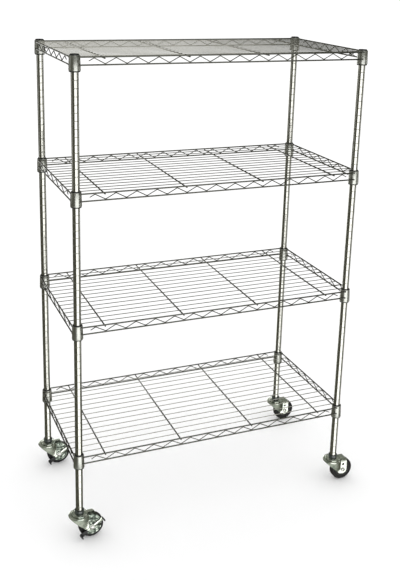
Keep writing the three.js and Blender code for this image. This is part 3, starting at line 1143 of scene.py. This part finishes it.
def lever():
    y = -LEVER_NEAR
    shape = bmesh.new()
    ends = [shape.verts.new((-LEVER_HALF, y - TAB_OUT, z)) for z in (-TAB_HALF, TAB_HALF)]
    edges = [shape.edges.new(ends)]
    edges = pulled(shape, edges, (0, TAB_OUT - TAB_BEND, 0))
    edges = bent(shape, edges, (-LEVER_HALF + TAB_BEND, y - TAB_BEND, 0), (0, 0, 1), -math.pi / 2)
    narrow = LEVER_HALF - TAB_BEND - NECK_LONG - MIDDLE
    half_strip = [(NECK_LONG, NECK), (narrow, 1), (MIDDLE, 1)]
    for run, scale in half_strip + [(MIDDLE, 1), (narrow, 1), (NECK_LONG, 1 / NECK)]:
        edges = pulled(shape, edges, (run, 0, 0))
        bmesh.ops.scale(shape, verts=list({v for e in edges for v in e.verts}), vec=(1, 1, scale))
    edges = bent(shape, edges, (LEVER_HALF - TAB_BEND, y - TAB_BEND, 0), (0, 0, 1), -math.pi / 2)
    pulled(shape, edges, (0, TAB_BEND - TAB_OUT, 0))
    bmesh.ops.recalc_face_normals(shape, faces=shape.faces)
    bmesh.ops.solidify(shape, geom=shape.faces[:], thickness=LEVER_SHEET)
    bmesh.ops.recalc_face_normals(shape, faces=shape.faces)
    return eased(shape, 0.4, 2, 40)


boss = eased(about_y(spun([
    (5.4, LEVER_NEAR), (10, LEVER_NEAR), (10, LEVER_NEAR + LEVER_SHEET), (5.4, LEVER_NEAR + LEVER_SHEET),
], 32)), 0.4)
lever_shape = moved(joined(lever(), boss), (0, 0, 0), -LEVER_TILT, "Y")
print("lever: along", reach_along(lever_shape, 0), "across", reach_along(lever_shape, 1))

# %% [markdown]
# ## Dipped tips and foot pad
# Both tabs are dipped in soft black plastic, and a pad of it covers the end that the foot finds.
# Each is a block with generously rounded edges, because a dipped coat is thickest on the flats
# and draws back from every edge. The pad narrows where the strip does.


# %% Dipped tips and foot pad
def block(low, high, y, deep, tall):
    """A block from low to high along the lever, centred on y and on the lever's middle line."""
    shape = bmesh.new()
    size = Matrix.Diagonal((high - low, deep, tall, 1))
    middle = Matrix.Translation(((low + high) / 2, y, 0))
    bmesh.ops.create_cube(shape, size=1, matrix=middle @ size)
    return shape


TIP_SKIN, TIP_LONG, TIP_DEEP, TIP_TALL = 0.6, 4, 10, 17.4
PAD_START, PAD_END, PAD_THICK, PAD_TALL, PAD_NARROW = 2, 31, 4, 16.8, 0.64
tip_y = -LEVER_NEAR - TAB_OUT / 2 - 2.6
tip_low = block(-LEVER_HALF - TIP_SKIN, -LEVER_HALF + TIP_LONG, tip_y, TIP_DEEP, TIP_TALL)
tip_high = block(LEVER_HALF - TIP_LONG, LEVER_HALF + TIP_SKIN, tip_y, TIP_DEEP, TIP_TALL)
pad_low, pad_high = -LEVER_HALF + PAD_START, -LEVER_HALF + PAD_END
pad = block(pad_low, pad_high, -LEVER_NEAR - 2.1, PAD_THICK, PAD_TALL)
inner = [vert for vert in pad.verts if vert.co.x > (pad_low + pad_high) / 2]
bmesh.ops.scale(pad, verts=inner, vec=(1, 1, PAD_NARROW))
tips_shape = joined(eased(tip_low, 1.2, 3), eased(tip_high, 1.2, 3), eased(pad, 0.7, 2))
tips_shape = moved(tips_shape, (0, 0, 0), -LEVER_TILT, "Y")
print("tips and pad:", len(tips_shape.faces), "faces")

# %% [markdown]
# ## What turns with what
# The race stays with the cart. The fork, its plate and the bolt turn with the swivel, the hub and
# the tyre roll as well, and the lever with its tips turns about the axle. A stem hardly shows, so
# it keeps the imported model's own shape and only gets a finish.

# %% Casters in their places
for corner, axis in AXES.items():
    ground = Vector((axis.x, axis.y, 0))
    wheel = ground + Vector((AXLE_X, 0, AXLE_Z)) * MM
    braked = corner in BRAKED
    swivel, roll = f"swivel_{corner}", f"wheel_{corner}"
    piece(f"ball_race_{corner}", race_shape, ZINC, "cart", [f"raceway_{corner}"], ground)
    fork_shape = brake_fork if braked else plain_fork
    piece(f"caster_fork_{corner}", fork_shape, ZINC, swivel, [f"fork_{corner}"], ground)
    bolt = braked_axle if braked else plain_axle
    piece(f"axle_bolt_{corner}", bolt, BOLT, swivel, [f"axle_{corner}"], wheel)
    piece(f"wheel_hub_{corner}", hub_shape, HUB, roll, [f"hub_{corner}"], wheel)
    piece(f"wheel_tyre_{corner}", tyre_shape, RUBBER, roll, [f"tyre_{corner}"], wheel)
    if braked:
        piece(f"brake_plate_{corner}", brake_plate, STAINED, swivel, [], ground)
        node = f"brake_lever_{corner}"
        piece(f"steel_{node}", lever_shape, ZINC, f"brake_{corner}", [node], wheel)
        piece(f"dipped_tips_{corner}", tips_shape, PLASTIC, f"brake_{corner}", [], wheel)
    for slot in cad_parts[f"stem_{corner}"].material_slots:
        slot.material = BOLT
print("pieces:", len(made_pieces))

# %% [markdown]
# ## Check of the size
# The box of the finished look is measured beside the CAD model's box, kept from the start, and the gap on
# each side is printed. The finished look must stay inside the CAD model's box.

# %% Sizes
low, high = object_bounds()
inside = [round(gap / MM, 2) for gap in (*(low - cad_low), *(cad_high - high))]
print("visual box is inside the CAD box by", inside, "mm")
